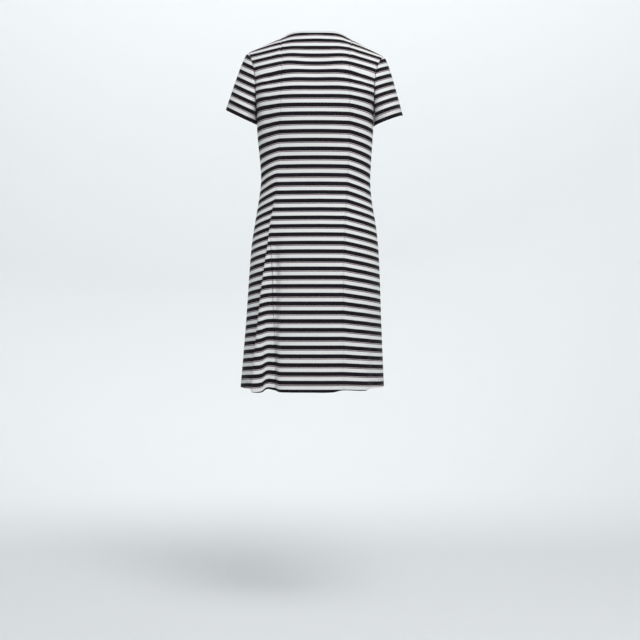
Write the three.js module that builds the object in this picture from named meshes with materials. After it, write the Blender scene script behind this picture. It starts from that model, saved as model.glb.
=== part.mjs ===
// A short-sleeved, A-line jersey dress as it hangs when worn, hollow, with every piece its own wall.
// Millimetres. +Z is up, the back faces +Y, the front faces -Y and the wearer's left is +X.
// The origin lies between the two neck points, at the height of the shoulder seams.

import * as THREE from 'three';

const { lerp, clamp, smoothstep, degToRad, radToDeg } = THREE.MathUtils;

// ---- Driving dimensions --------------------------------------------------------------------

const WALL = 2;                 // thickness of the cloth
const GAP = 0.3;                // clear space along every seam
const HEM = -945;               // level of the hem
const UNDERARM = -190;          // level of the lowest point of the armholes
const SHOULDER_REACH = 200;     // how far down the rounding of the shoulders goes

const NECK_HALF_WIDTH = 84;     // finished neck opening
const BAND_WIDTH = 6;           // neck binding
const BAND_STARTS = 0.65;       // how far past the edge of the panels the binding starts
const NECK_SEAM_HALF_WIDTH = NECK_HALF_WIDTH + BAND_WIDTH;
const BACK_NECK_DROP = 5.1;     // level of the binding's seam at the middle of the back
const BACK_NECK_DEPTH = 38;     // how far behind the shoulder ridge the neck opening runs
const FRONT_NECK_DROP = 92;     // how far the front neckline is scooped out
const BACK_NECK_RISE = 12;      // the middle of the back neck stands above the neck points

const SLOPE_STARTS = 62;        // distance from the middle where the shoulders begin to slope
const SLOPE_SOFTNESS = 9;       // how soft that bend is
const SLOPE = { left: 0.435, right: 0.525 };
const SLOPE_FADE = 1.5;         // how soon the slope dies out below the shoulders

// Sections of the body, from hem to shoulder: half width, depth behind and in front of the side
// seams, squareness (2 is an ellipse), sideways lean of the whole, half width of the centre back
// panel and how far that panel has slid towards the left.
const BODY = [
  { at: -945, wide: 193, back: 146, front: 140, square: 2.1, lean: 10, panel: 93, slide: 22 },
  { at: -850, wide: 187, back: 138, front: 132, square: 2.1, lean: 8, panel: 93, slide: 22 },
  { at: -750, wide: 181, back: 130, front: 125, square: 2.15, lean: 6, panel: 93, slide: 22 },
  { at: -640, wide: 175.5, back: 121, front: 118, square: 2.2, lean: 4, panel: 94, slide: 21 },
  { at: -560, wide: 170, back: 108, front: 111, square: 2.2, lean: 3, panel: 95, slide: 20 },
  { at: -500, wide: 162, back: 94, front: 104, square: 2.2, lean: 2, panel: 95, slide: 18 },
  { at: -440, wide: 152, back: 82, front: 98, square: 2.2, lean: 2, panel: 95, slide: 13 },
  { at: -390, wide: 147, back: 78, front: 97, square: 2.2, lean: 1, panel: 94, slide: 10 },
  { at: -340, wide: 149, back: 83, front: 104, square: 2.2, lean: 1, panel: 93, slide: 6 },
  { at: -280, wide: 154, back: 92, front: 117, square: 2.2, lean: 2, panel: 93, slide: 4 },
  { at: -230, wide: 157, back: 97, front: 121, square: 2.3, lean: 2, panel: 93, slide: 3 },
  { at: -190, wide: 159, back: 98, front: 116, square: 2.5, lean: 1, panel: 92, slide: 2 },
  { at: -150, wide: 169, back: 97, front: 106, square: 2.9, lean: 0, panel: 91, slide: 2 },
  { at: -110, wide: 176, back: 95, front: 98, square: 3.2, lean: 0, panel: 89, slide: 2 },
  { at: -60, wide: 183, back: 93, front: 94, square: 3.2, lean: 0, panel: 90, slide: 1 },
  { at: 0, wide: 190, back: 92, front: 90, square: 3, lean: 0, panel: 97, slide: 0 },
];

// Each armhole from underarm to shoulder tip: height, angle round from the middle of the back on
// either side and from the middle of the front, and how far out the sleeve starts to clear the wall
// of the body.
const ARMHOLE = [
  { at: 0, height: -190, left: 90, right: 90, front: 90, clear: 2.6 },
  { at: 0.12, height: -187, left: 80, right: 79, front: 80, clear: 2.6 },
  { at: 0.25, height: -177, left: 70, right: 68, front: 69, clear: 2.6 },
  { at: 0.4, height: -158, left: 62, right: 59.5, front: 60, clear: 2.4 },
  { at: 0.55, height: -130, left: 57, right: 54, front: 54, clear: 1.9 },
  { at: 0.7, height: -95, left: 55, right: 51.8, front: 51.5, clear: 1.6 },
  { at: 0.85, height: -50, left: 56.5, right: 53.5, front: 54, clear: 1.3 },
  { at: 1, height: 0, left: 62.5, right: 62.5, front: 62.5, clear: 1.1 },
];

// Folds of the skirt: which panel side, where the fold starts, where it lies and how far it stands
// out (or sinks in) at the hem, and its half width there.
const FOLDS = [
  { face: 1, starts: -470, from: 104, to: 108, out: -18, half: 14 },
  { face: 1, starts: -420, from: 99, to: 143, out: 14, half: 15 },
  { face: 1, starts: -430, from: 118, to: 168, out: -9, half: 13 },
  { face: 1, starts: -560, from: -126, to: -140, out: 6, half: 20 },
  { face: 1, starts: -700, from: -150, to: -163, out: -7, half: 12 },
  { face: 1, starts: -600, from: 8, to: 18, out: -3, half: 30 },
  { face: -1, starts: -430, from: 96, to: 118, out: 12, half: 22 },
  { face: -1, starts: -470, from: 128, to: 150, out: -8, half: 15 },
  { face: -1, starts: -520, from: 55, to: 66, out: -8, half: 20 },
  { face: -1, starts: -460, from: -84, to: -104, out: 10, half: 24 },
  { face: -1, starts: -500, from: -124, to: -146, out: -7, half: 15 },
  { face: -1, starts: -600, from: -30, to: -44, out: -6, half: 22 },
];
const FOLD_START_WIDTH = 0.6;   // a fold starts with this share of its width at the hem
const FOLD_GROWTH = 0.75;       // how soon a fold reaches its full depth

// Broad fullness and hollows: where each lies, how far it stands out and how far it reaches.
const SWELLS = [
  { face: 1, x: 66, level: -105, out: 4, across: 34, down: 55 },
  { face: 1, x: -66, level: -105, out: 4, across: 34, down: 55 },
  { face: 1, x: 0, level: -95, out: -3.5, across: 30, down: 70 },
  { face: 1, x: 146, level: -180, out: 9, across: 22, down: 65 },
  { face: 1, x: 106, level: -400, out: 6, across: 24, down: 80 },
  { face: 1, x: 107, level: -620, out: -10, across: 12.5, down: 75 },
  { face: -1, x: 0, level: -235, out: -4, across: 26, down: 50 },
];

// Sleeves: the outermost and innermost points of the hem, its half depth, and how far the hem dips
// behind and rises in front.
const SLEEVES = {
  left: { outerX: 243, outerZ: -194, innerX: 162, innerZ: -233, depth: 56, dip: 7, rise: 11 },
  right: { outerX: 234, outerZ: -209, innerX: 162, innerZ: -238, depth: 56, dip: 3, rise: 13 },
};
const CAP_FULLNESS = 5;         // how far the head of the sleeve stands out

// Grid sizes
const SKIRT_ROWS = 16;
const YOKE_ROWS = 13;
const FRONT_COLUMNS = 28;       // half of them end on the neckline
const FRONT_NECK_STEPS = FRONT_COLUMNS / 2;
const CENTRE_COLUMNS = 12;      // all but the outermost two end on the neckline
const BACK_NECK_STEPS = CENTRE_COLUMNS - 2;
const SIDE_COLUMNS = 11;
const SLEEVE_RINGS = 8;
const ROW_EASE = 1.5;           // rows come closer together towards the shoulder ridge
const EDGE_PULL = 3;            // how closely a panel's inner columns follow its shaped edge
const PROBE = 0.25;             // step for measuring which way the surface faces

const COLOURS = { stripes: 0x77737a, band: 0xe4e6e4 };

// ---- Reading the tables --------------------------------------------------------------------

// A smooth value between the rows of a table, whose rows are sorted by "at".
function read(table, column, at) {
  const last = table.length - 1;
  let upper = 1;
  while (upper < last && table[upper].at < at) upper += 1;
  const low = table[upper - 1];
  const high = table[upper];
  const span = high.at - low.at;
  const steepness = (row) => {
    const before = table[Math.max(row - 1, 0)];
    const after = table[Math.min(row + 1, last)];
    return (after[column] - before[column]) / (after.at - before.at);
  };
  const f = clamp((at - low.at) / span, 0, 1);
  const stays = 2 * f ** 3 - 3 * f ** 2 + 1;
  const leaves = (f ** 3 - 2 * f ** 2 + f) * span * steepness(upper - 1);
  const arrives = (f ** 3 - f ** 2) * span * steepness(upper);
  return stays * low[column] + leaves + (1 - stays) * high[column] + arrives;
}

// ---- The surface of the body ---------------------------------------------------------------

const sideName = (x) => (x >= 0 ? 'left' : 'right');

// How much of the shoulders' slope reaches a level: all of it on the shoulder seam, none at the
// underarm.
const slopeShare = (level) => Math.max(0, 1 - level / UNDERARM) ** SLOPE_FADE;

// The shoulders' height over the distance from the middle, bending softly beside the neck.
function shoulderHeight(x) {
  const beyond = (Math.abs(x) - SLOPE_STARTS) / SLOPE_SOFTNESS;
  return BACK_NECK_RISE - SLOPE[sideName(x)] * SLOPE_SOFTNESS * Math.log1p(Math.exp(beyond));
}

// The share of a section's depth that is left near the shoulder ridge: none on the ridge itself,
// but enough round the neck for the opening.
function depthShare(x, level) {
  const below = Math.min(1, -level / SHOULDER_REACH);
  const beside = Math.min(1, Math.abs(x) / NECK_HALF_WIDTH);
  const neckShare = (BACK_NECK_DEPTH / BODY.at(-1).back) ** 2 * (1 - beside ** 2);
  return Math.sqrt(Math.max(0, 1 - (1 - neckShare) * (1 - below) ** 2));
}

// How far the folds and swells raise the cloth at a place.
function foldHeight(x, level, face) {
  let height = 0;
  for (const fold of FOLDS.filter((row) => row.face === face)) {
    const grown = clamp((fold.starts - level) / (fold.starts - HEM), 0, 1);
    const half = fold.half * lerp(FOLD_START_WIDTH, 1, grown);
    const away = (x - lerp(fold.from, fold.to, grown)) / half;
    height += fold.out * smoothstep(grown, 0, 1) ** FOLD_GROWTH * Math.exp(-(away ** 2));
  }
  for (const swell of SWELLS.filter((row) => row.face === face)) {
    const beside = (x - swell.x) / swell.across;
    const beyond = (level - swell.level) / swell.down;
    height += swell.out * Math.exp(-(beside ** 2) - beyond ** 2);
  }
  return height;
}

// The point of the body at an angle from the middle of the back or front (degrees, positive on the
// wearer's left) and a level, counted down from the shoulder ridge. face is 1 behind, -1 in front.
function bodyPoint(angle, level, face) {
  const turn = degToRad(angle);
  const square = read(BODY, 'square', level);
  const sine = Math.sin(turn);
  const cosine = Math.cos(turn);
  const reach = (Math.abs(sine) ** square + Math.abs(cosine) ** square) ** (-1 / square);
  const x = read(BODY, 'wide', level) * reach * sine;
  const depth = read(BODY, face > 0 ? 'back' : 'front', level) * reach * cosine;
  const fold = foldHeight(x, level, face);
  return new THREE.Vector3(
    x + read(BODY, 'lean', level) + fold * sine * Math.abs(cosine),
    face * (depth * depthShare(x, level) + fold * cosine),
    level + slopeShare(level) * shoulderHeight(x),
  );
}

// A point of the body with the direction that faces away from the wearer there. On the side and
// shoulder seams that direction lies square to the seam, so both walls meet face to face.
function bodySpot(angle, level, face) {
  const point = bodyPoint(angle, level, face);
  const around = bodyPoint(angle + PROBE, level, face).sub(bodyPoint(angle - PROBE, level, face));
  const upwards = bodyPoint(angle, Math.min(level + PROBE, 0), face)
    .sub(bodyPoint(angle, level - PROBE, face));
  const normal = around.cross(upwards).multiplyScalar(-face);
  if (Math.abs(point.y) < GAP / 2) normal.y = 0;
  point.y = face * Math.max(face * point.y, GAP / 2);
  return { point, normal: normal.normalize() };
}

// The angle at which a section reaches a given distance from its middle.
function angleAt(x, level) {
  const square = read(BODY, 'square', level);
  const across = Math.min(1, Math.abs(x) / read(BODY, 'wide', level));
  const angle = Math.atan2(across, (1 - across ** square) ** (1 / square));
  return Math.sign(x) * radToDeg(angle);
}

// ---- Edges of the panels -------------------------------------------------------------------

const levelUp = (row) => lerp(HEM, UNDERARM, row / SKIRT_ROWS);

const armholeAngle = (up, face, side) => read(ARMHOLE, face > 0 ? sideName(side) : 'front', up);
const armholeLevel = (up) => read(ARMHOLE, 'height', up);

// The princess seams stand half a gap to each side of this distance from the middle.
const panelEdge = (level, side) => read(BODY, 'panel', level) * side
  + read(BODY, 'slide', level) - read(BODY, 'lean', level);

// ---- Turning a grid of spots into a wall of cloth ------------------------------------------

// rows is a grid of spots, bottom row first. A round grid joins its last column to its first.
// outward is 1 where the grid's columns run so that its faces already look outwards.
function cloth(name, rows, { round = false, outward = 1 }) {
  const down = rows.length;
  const across = rows[0].length;
  const columnAt = (column) => (round ? (column + across) % across : column);

  const positions = [];
  for (const offset of [WALL / 2, -WALL / 2]) {
    for (const { point, normal } of rows.flat()) {
      positions.push(...point.clone().addScaledVector(normal, offset).toArray());
    }
  }

  const faces = [];
  const at = (row, column, skin) => (skin * down + row) * across + columnAt(column);
  const quad = (a, b, c, d) => {
    faces.push(...(outward > 0 ? [a, b, c, a, c, d] : [a, c, b, a, d, c]));
  };
  const columns = round ? across : across - 1;
  const top = down - 1;
  for (let column = 0; column < columns; column += 1) {
    const next = column + 1;
    for (let row = 0; row < top; row += 1) {
      const above = row + 1;
      quad(at(row, column, 0), at(row, next, 0), at(above, next, 0), at(above, column, 0));
      quad(at(above, column, 1), at(above, next, 1), at(row, next, 1), at(row, column, 1));
    }
    quad(at(0, column, 1), at(0, next, 1), at(0, next, 0), at(0, column, 0));
    quad(at(top, column, 0), at(top, next, 0), at(top, next, 1), at(top, column, 1));
  }
  for (let row = 0; row < top && !round; row += 1) {
    const above = row + 1;
    const edge = columns;
    quad(at(row, 0, 1), at(row, 0, 0), at(above, 0, 0), at(above, 0, 1));
    quad(at(row, edge, 1), at(above, edge, 1), at(above, edge, 0), at(row, edge, 0));
  }

  const geometry = new THREE.BufferGeometry();
  geometry.setAttribute('position', new THREE.Float32BufferAttribute(positions, 3));
  geometry.setIndex(faces);
  geometry.computeVertexNormals();
  const color = name === 'neck_band' ? COLOURS.band : COLOURS.stripes;
  const mesh = new THREE.Mesh(geometry, new THREE.MeshStandardMaterial({ color, roughness: 0.9 }));
  mesh.name = name;
  return mesh;
}

// Spots for a round grid of bare points, each facing away from the middle of the tube.
function tubeSpots(rings, outward) {
  return rings.map((points, ring) => points.map((point, column) => {
    const count = points.length;
    const around = points[(column + 1) % count].clone().sub(points[(column + count - 1) % count]);
    const above = rings[Math.min(ring + 1, rings.length - 1)][column];
    const below = rings[Math.max(ring - 1, 0)][column];
    const normal = around.cross(above.clone().sub(below)).multiplyScalar(outward).normalize();
    return { point, normal };
  }));
}

// ---- Front and back panels -----------------------------------------------------------------

// The share of the way from the underarm (0) to the shoulder ridge (1) that a yoke row reaches.
const upShare = (row) => 1 - (1 - row / YOKE_ROWS) ** ROW_EASE;

// A panel's grid. share runs from 0 to 1 across it; below(share, level) gives the angle from the
// hem to the underarm, above(share, up) gives the angle and level from there to the top edge.
function panelRows(columns, face, below, above) {
  const rows = [];
  const shares = Array.from({ length: columns + 1 }, (_, column) => column / columns);
  for (let row = 0; row < SKIRT_ROWS; row += 1) {
    const level = levelUp(row);
    rows.push(shares.map((share) => bodySpot(below(share, level), level, face)));
  }
  for (let row = 0; row <= YOKE_ROWS; row += 1) {
    rows.push(shares.map((share) => {
      const { angle, level } = above(share, upShare(row));
      return bodySpot(angle, level, face);
    }));
  }
  return rows;
}

// The neck seam from the middle (0) to the neck point (1), as a distance and a level.
function neckSeam(share, face) {
  const x = NECK_SEAM_HALF_WIDTH * Math.sin(share * Math.PI / 2);
  const drop = face > 0 ? BACK_NECK_DROP : FRONT_NECK_DROP;
  return { x, level: -drop * Math.cos(share * Math.PI / 2) };
}

function makeFront() {
  const below = (share) => (share * 2 - 1) * 90;
  const tip = ARMHOLE.at(-1).front;
  const neckPoint = angleAt(NECK_SEAM_HALF_WIDTH, 0);
  const topEdge = (reach) => {
    if (reach > 0.5) return { angle: lerp(neckPoint, tip, reach * 2 - 1), level: 0 };
    const seam = neckSeam(reach * 2, -1);
    return { angle: angleAt(seam.x, seam.level), level: seam.level };
  };
  const above = (share, up) => {
    const reach = Math.abs(share * 2 - 1);
    const top = topEdge(reach);
    const straight = lerp(reach * 90, top.angle, up);
    const pull = reach ** EDGE_PULL;
    const inwards = armholeAngle(up, -1, share - 0.5) - lerp(90, tip, up);
    const upwards = armholeLevel(up) - lerp(UNDERARM, 0, up);
    return {
      angle: Math.sign(share * 2 - 1) * (straight + pull * inwards),
      level: lerp(UNDERARM, top.level, up) + pull * upwards,
    };
  };
  return cloth('front', panelRows(FRONT_COLUMNS, -1, below, above), { outward: 1 });
}

// The centre back's outermost columns end on the shoulder seams, just past the neck points.
function makeCentreBack() {
  const edge = (level, side) => angleAt(panelEdge(level, side) - side * GAP / 2, level);
  const below = (share, level) => lerp(edge(level, -1), edge(level, 1), share);
  const neckReach = 1 - 2 / CENTRE_COLUMNS;
  const above = (share, up) => {
    const signed = share * 2 - 1;
    const side = Math.sign(signed);
    const reach = Math.abs(signed);
    const onShoulder = reach === 1;
    const seam = neckSeam(Math.min(1, reach / neckReach), 1);
    const top = onShoulder ? edge(0, side) : side * angleAt(seam.x, seam.level);
    const level = lerp(UNDERARM, onShoulder ? 0 : seam.level, up);
    const straight = lerp(below(share, UNDERARM), top, up);
    const inwards = edge(level, side) - lerp(edge(UNDERARM, side), edge(0, side), up);
    return { angle: straight + reach ** EDGE_PULL * inwards, level };
  };
  return cloth('back_centre', panelRows(CENTRE_COLUMNS, 1, below, above), { outward: -1 });
}

function makeSideBack(side) {
  const edge = (level) => angleAt(panelEdge(level, side) + side * GAP / 2, level);
  const below = (share, level) => lerp(edge(level), side * 90, share);
  const above = (share, up) => {
    const level = lerp(UNDERARM, 0, up);
    return {
      angle: lerp(edge(level), side * armholeAngle(up, 1, side), share),
      level: lerp(level, armholeLevel(up), share),
    };
  };
  const name = side > 0 ? 'back_side_left' : 'back_side_right';
  return cloth(name, panelRows(SIDE_COLUMNS, 1, below, above), { outward: -side });
}

// ---- Sleeves -------------------------------------------------------------------------------

// A sleeve's top ring follows the armhole from the shoulder tip down the back, under the arm
// and up the front, and its bottom ring is the tilted oval of its hem.
function makeSleeve(side) {
  const name = side > 0 ? 'left' : 'right';
  const hem = SLEEVES[name];
  const around = YOKE_ROWS * 2;
  const rings = [];
  for (let ring = SLEEVE_RINGS; ring >= 0; ring -= 1) {
    const down = ring / SLEEVE_RINGS;
    rings.push(Array.from({ length: around }, (_, column) => {
      const face = column < YOKE_ROWS ? 1 : -1;
      const up = upShare(Math.abs(YOKE_ROWS - column));
      const { point } = bodySpot(side * armholeAngle(up, face, side), armholeLevel(up), face);
      point.x += side * read(ARMHOLE, 'clear', up);
      if (up === 1 || up === 0) point.y = 0;
      const turn = (column / around) * 2 * Math.PI;
      const outer = (1 + Math.cos(turn)) / 2;
      const tilt = Math.sin(turn) > 0 ? hem.dip : hem.rise;
      const end = new THREE.Vector3(
        side * lerp(hem.innerX, hem.outerX, outer),
        hem.depth * Math.sin(turn),
        lerp(hem.innerZ, hem.outerZ, outer) - tilt * Math.sin(turn),
      );
      point.lerp(end, down);
      point.x += side * CAP_FULLNESS * outer * Math.sin(Math.PI * Math.sqrt(down));
      return point;
    }));
  }
  return cloth(`sleeve_${name}`, tubeSpots(rings, -side), { round: true, outward: -side });
}

// ---- Neck binding --------------------------------------------------------------------------

// The binding carries the panels straight on past their neck seam: round the front from the left
// neck point to the right one, and back behind the neck.
function makeNeckBand() {
  const spots = [];
  for (const [face, steps] of [[-1, FRONT_NECK_STEPS], [1, BACK_NECK_STEPS]]) {
    for (let step = 0; step < steps; step += 1) {
      const signed = -face * (1 - 2 * step / steps);
      const seam = neckSeam(Math.abs(signed), face);
      const spot = bodySpot(Math.sign(signed) * angleAt(seam.x, seam.level), seam.level, face);
      if (step === 0) spot.point.y = 0;
      spots.push(spot);
    }
  }
  const bandRow = (distance) => spots.map(({ point, normal }, column) => {
    const next = spots[(column + 1) % spots.length].point;
    const previous = spots[(column + spots.length - 1) % spots.length].point;
    const onwards = next.clone().sub(previous).cross(normal).normalize();
    return { point: point.clone().addScaledVector(onwards, distance), normal };
  });
  return cloth('neck_band', [bandRow(BAND_STARTS), bandRow(BAND_WIDTH)], { round: true, outward: -1 });
}

// ---- The dress -----------------------------------------------------------------------------

const dress = new THREE.Group();
dress.add(makeFront(), makeCentreBack());
for (const side of [1, -1]) dress.add(makeSideBack(side), makeSleeve(side));
dress.add(makeNeckBand());

export default dress;
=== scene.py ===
# %% [markdown]
# # A short-sleeved striped jersey dress
# The real dress is sewn from one yarn-dyed jersey: a front, a centre back, two side backs and two
# sleeves, with a narrow off-white binding round the neck. It hangs as it does when worn, but it is
# hollow: nobody is inside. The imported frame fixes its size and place. This lesson makes the cloth
# that replaces the frame's plain walls.

# %% Load the frame
import functools
import math

import bmesh
import bpy
from mathutils import Matrix, Vector


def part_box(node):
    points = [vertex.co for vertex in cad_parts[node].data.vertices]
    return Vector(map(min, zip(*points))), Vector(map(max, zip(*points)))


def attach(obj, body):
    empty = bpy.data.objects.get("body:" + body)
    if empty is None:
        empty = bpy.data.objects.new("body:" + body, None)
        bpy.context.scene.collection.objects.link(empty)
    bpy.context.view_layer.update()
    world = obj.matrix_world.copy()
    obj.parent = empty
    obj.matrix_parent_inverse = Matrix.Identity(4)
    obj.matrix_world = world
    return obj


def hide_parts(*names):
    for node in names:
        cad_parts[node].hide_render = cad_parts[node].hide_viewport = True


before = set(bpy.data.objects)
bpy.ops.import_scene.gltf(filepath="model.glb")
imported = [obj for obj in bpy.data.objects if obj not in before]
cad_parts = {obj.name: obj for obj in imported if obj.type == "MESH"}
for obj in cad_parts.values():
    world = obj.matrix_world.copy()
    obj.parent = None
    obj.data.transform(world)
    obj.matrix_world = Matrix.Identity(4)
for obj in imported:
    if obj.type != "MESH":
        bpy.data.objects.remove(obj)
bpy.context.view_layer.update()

print("frame:", sorted(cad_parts))

# %% [markdown]
# ## The form
# A dress has no straight lines to start from, so its form is a stack of sections: how wide it is,
# how deep behind and in front of the side seams, how square, and where the princess seams run. The
# tables are in millimetres, as a pattern cutter writes them, and MM turns them into Blender's
# metres at the very end. Curves between the rows come from one smooth interpolation, so few rows
# are enough.

# %% Sizes of the form
MM = 0.001
HEM = round(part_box("front")[0].z / MM)   # level of the hem
UNDERARM = -190                          # level of the lowest point of the armholes
SHOULDER_REACH = 200                     # how far down the rounding of the shoulders goes
NECK_HALF_WIDTH = 84
NECK_SEAM_HALF_WIDTH = 90
BACK_NECK_DROP = 4.8
BACK_NECK_DEPTH = 38
FRONT_NECK_DROP = 92
BACK_NECK_RISE = 12
SLOPE_STARTS = 62
SLOPE_SOFTNESS = 9
SLOPE = {"left": 0.435, "right": 0.525}
SLOPE_FADE = 1.5

BODY = [
    dict(at=-945, wide=193, back=146, front=140, square=2.1, lean=10, panel=93, slide=22),
    dict(at=-850, wide=187, back=138, front=132, square=2.1, lean=8, panel=93, slide=22),
    dict(at=-750, wide=181, back=130, front=125, square=2.15, lean=6, panel=93, slide=22),
    dict(at=-640, wide=175.5, back=121, front=118, square=2.2, lean=4, panel=94, slide=21),
    dict(at=-560, wide=170, back=108, front=111, square=2.2, lean=3, panel=95, slide=20),
    dict(at=-500, wide=162, back=94, front=104, square=2.2, lean=2, panel=95, slide=18),
    dict(at=-440, wide=152, back=82, front=98, square=2.2, lean=2, panel=95, slide=13),
    dict(at=-390, wide=147, back=78, front=97, square=2.2, lean=1, panel=94, slide=10),
    dict(at=-340, wide=149, back=83, front=104, square=2.2, lean=1, panel=93, slide=6),
    dict(at=-280, wide=154, back=92, front=117, square=2.2, lean=2, panel=93, slide=4),
    dict(at=-230, wide=157, back=97, front=121, square=2.3, lean=2, panel=93, slide=3),
    dict(at=-190, wide=159, back=98, front=116, square=2.5, lean=1, panel=92, slide=2),
    dict(at=-150, wide=169, back=97, front=106, square=2.9, lean=0, panel=91, slide=2),
    dict(at=-110, wide=176, back=95, front=98, square=3.2, lean=0, panel=89, slide=2),
    dict(at=-60, wide=183, back=93, front=94, square=3.2, lean=0, panel=90, slide=1),
    dict(at=0, wide=190, back=92, front=90, square=3, lean=0, panel=97, slide=0),
]

# %% Read a table smoothly
def clamp(value, low=0.0, high=1.0):
    return min(max(value, low), high)


def lerp(start, end, share):
    return start + (end - start) * share


def smooth(share):
    """Eases 0 to 1 in and out."""
    share = clamp(share)
    return share * share * (3 - 2 * share)


def read(table, column, at):
    """A smooth value between the rows of a table, whose rows are sorted by "at"."""
    last = len(table) - 1
    upper = 1
    while upper < last and table[upper]["at"] < at:
        upper += 1
    low, high = table[upper - 1], table[upper]
    span = high["at"] - low["at"]

    def steepness(row):
        before, after = table[max(row - 1, 0)], table[min(row + 1, last)]
        return (after[column] - before[column]) / (after["at"] - before["at"])

    f = clamp((at - low["at"]) / span)
    stays = 2 * f ** 3 - 3 * f ** 2 + 1
    leaves = (f ** 3 - 2 * f ** 2 + f) * span * steepness(upper - 1)
    arrives = (f ** 3 - f ** 2) * span * steepness(upper)
    return stays * low[column] + leaves + (1 - stays) * high[column] + arrives


# %% Measure every section once
SECTION_COLUMNS = ("wide", "back", "front", "square", "lean", "panel", "slide")
SECTIONS = [[read(BODY, column, HEM + up) for column in SECTION_COLUMNS] for up in range(1 - HEM)]


def section(level):
    """The section's sizes at a level, from the list that holds one for each millimetre."""
    place = clamp(level - HEM, 0, -HEM - 1e-6)
    below = int(place)
    return [lerp(low, high, place - below) for low, high in zip(SECTIONS[below], SECTIONS[below + 1])]


print("sections:", len(SECTIONS), "hem:", [round(value, 1) for value in section(HEM)])

# %% [markdown]
# ## How the skirt hangs
# Jersey falls in soft flutes that widen towards the hem. One of them, at the wearer's left behind,
# is deep enough to roll over and hide the cloth beside it. Cloth simulation could find such folds,
# but never the same ones as on this dress, so each is listed: a row says where it starts,
# where it lies at either end, how far it stands out (or sinks in) and half its width.

# %% Flutes, fullness and the rolled fold
FLUTES = [
    dict(face=1, starts=-470, top=104, end=108, out=-18, half=14),
    dict(face=1, starts=-520, top=111, end=121, out=3, half=8),
    dict(face=1, starts=-530, top=114, end=130, out=-6, half=8),
    dict(face=1, starts=-430, top=99, end=146, out=10, half=15),
    dict(face=1, starts=-620, top=-70, end=-80, out=3.5, half=8),
    dict(face=1, starts=-560, top=-126, end=-140, out=6, half=20),
    dict(face=1, starts=-700, top=-150, end=-163, out=-7, half=12),
    dict(face=1, starts=-600, top=8, end=18, out=-3, half=30),
    dict(face=-1, starts=-430, top=96, end=118, out=12, half=22),
    dict(face=-1, starts=-470, top=128, end=150, out=-8, half=15),
    dict(face=-1, starts=-520, top=55, end=66, out=-8, half=20),
    dict(face=-1, starts=-460, top=-84, end=-104, out=10, half=24),
    dict(face=-1, starts=-500, top=-124, end=-146, out=-7, half=15),
    dict(face=-1, starts=-600, top=-30, end=-44, out=-6, half=22),
    dict(face=-1, starts=-640, top=10, end=16, out=4, half=20),
]
FLUTE_START_WIDTH = 0.6          # a flute starts with this share of its width at the hem
FLUTE_GROWTH = 0.75              # how soon a flute reaches its full depth

# Broad fullness: shoulder blades and the hollow between them, the back of the left armhole, the
# seat, and the long hollow inside the rolled fold.
FULLNESS = [
    dict(face=1, x=66, level=-105, out=4, across=34, down=55),
    dict(face=1, x=-66, level=-110, out=4, across=34, down=55),
    dict(face=1, x=0, level=-95, out=-3.5, across=30, down=70),
    dict(face=1, x=-14, level=-500, out=2.5, across=13, down=70),
    dict(face=1, x=146, level=-180, out=9, across=22, down=65),
    dict(face=1, x=121, level=-205, out=-2, across=7, down=75),
    dict(face=1, x=106, level=-400, out=6, across=24, down=80),
    dict(face=1, x=107, level=-620, out=-10, across=12.5, down=75),
    dict(face=-1, x=0, level=-235, out=-4, across=26, down=50),
    dict(face=-1, x=0, level=-400, out=2, across=60, down=40),
]

# The rolled fold: where its edge runs, how far its two layers stand apart, and how far they
# overlap.
ROLL = [
    dict(at=-945, x=153, apart=10, over=8.5),
    dict(at=-870, x=151, apart=10, over=8.5),
    dict(at=-760, x=143, apart=9.5, over=8),
    dict(at=-680, x=137, apart=9, over=8),
    dict(at=-620, x=131, apart=8, over=7.5),
    dict(at=-560, x=124, apart=7, over=7),
    dict(at=-500, x=118, apart=6, over=6),
    dict(at=-440, x=106, apart=3, over=4),
    dict(at=-400, x=98, apart=0, over=0),
]
ROLL_SOFTNESS = 5.5              # how soon the cloth turns from one layer to the other
ROLL_REACH = 24                  # how far to each side of its edge the fold is felt
ROLL_FROM = 40                   # it can't be felt nearer to the middle than this


def hang(x, level, face):
    """How far the cloth stands out and how far it shifts sideways, in its flutes and folds."""
    out, aside = 0.0, 0.0
    for flute in FLUTES:
        if flute["face"] != face or level > flute["starts"]:
            continue
        grown = clamp((flute["starts"] - level) / (flute["starts"] - HEM))
        half = flute["half"] * lerp(FLUTE_START_WIDTH, 1, grown)
        away = (x - lerp(flute["top"], flute["end"], grown)) / half
        out += flute["out"] * smooth(grown) ** FLUTE_GROWTH * math.exp(-away * away)
    for swell in FULLNESS:
        if swell["face"] == face:
            across = (x - swell["x"]) / swell["across"]
            down = (level - swell["level"]) / swell["down"]
            out += swell["out"] * math.exp(-across * across - down * down)
    if face > 0 and level < ROLL[-1]["at"] and x > ROLL_FROM:
        away = x - read(ROLL, "x", level)
        side = math.tanh(away / ROLL_SOFTNESS)
        near = math.exp(-(away / ROLL_REACH) ** 2)
        out -= read(ROLL, "apart", level) * side * near
        aside -= read(ROLL, "over", level) * side * near
    return out, aside


# %% [markdown]
# The hem isn't level either. It is cut a little higher at the sides, and the cloth is lifted or
# dropped where it folds. A cut moves only the edge, but a lift moves the stripes with it, so they
# are two tables.

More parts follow.
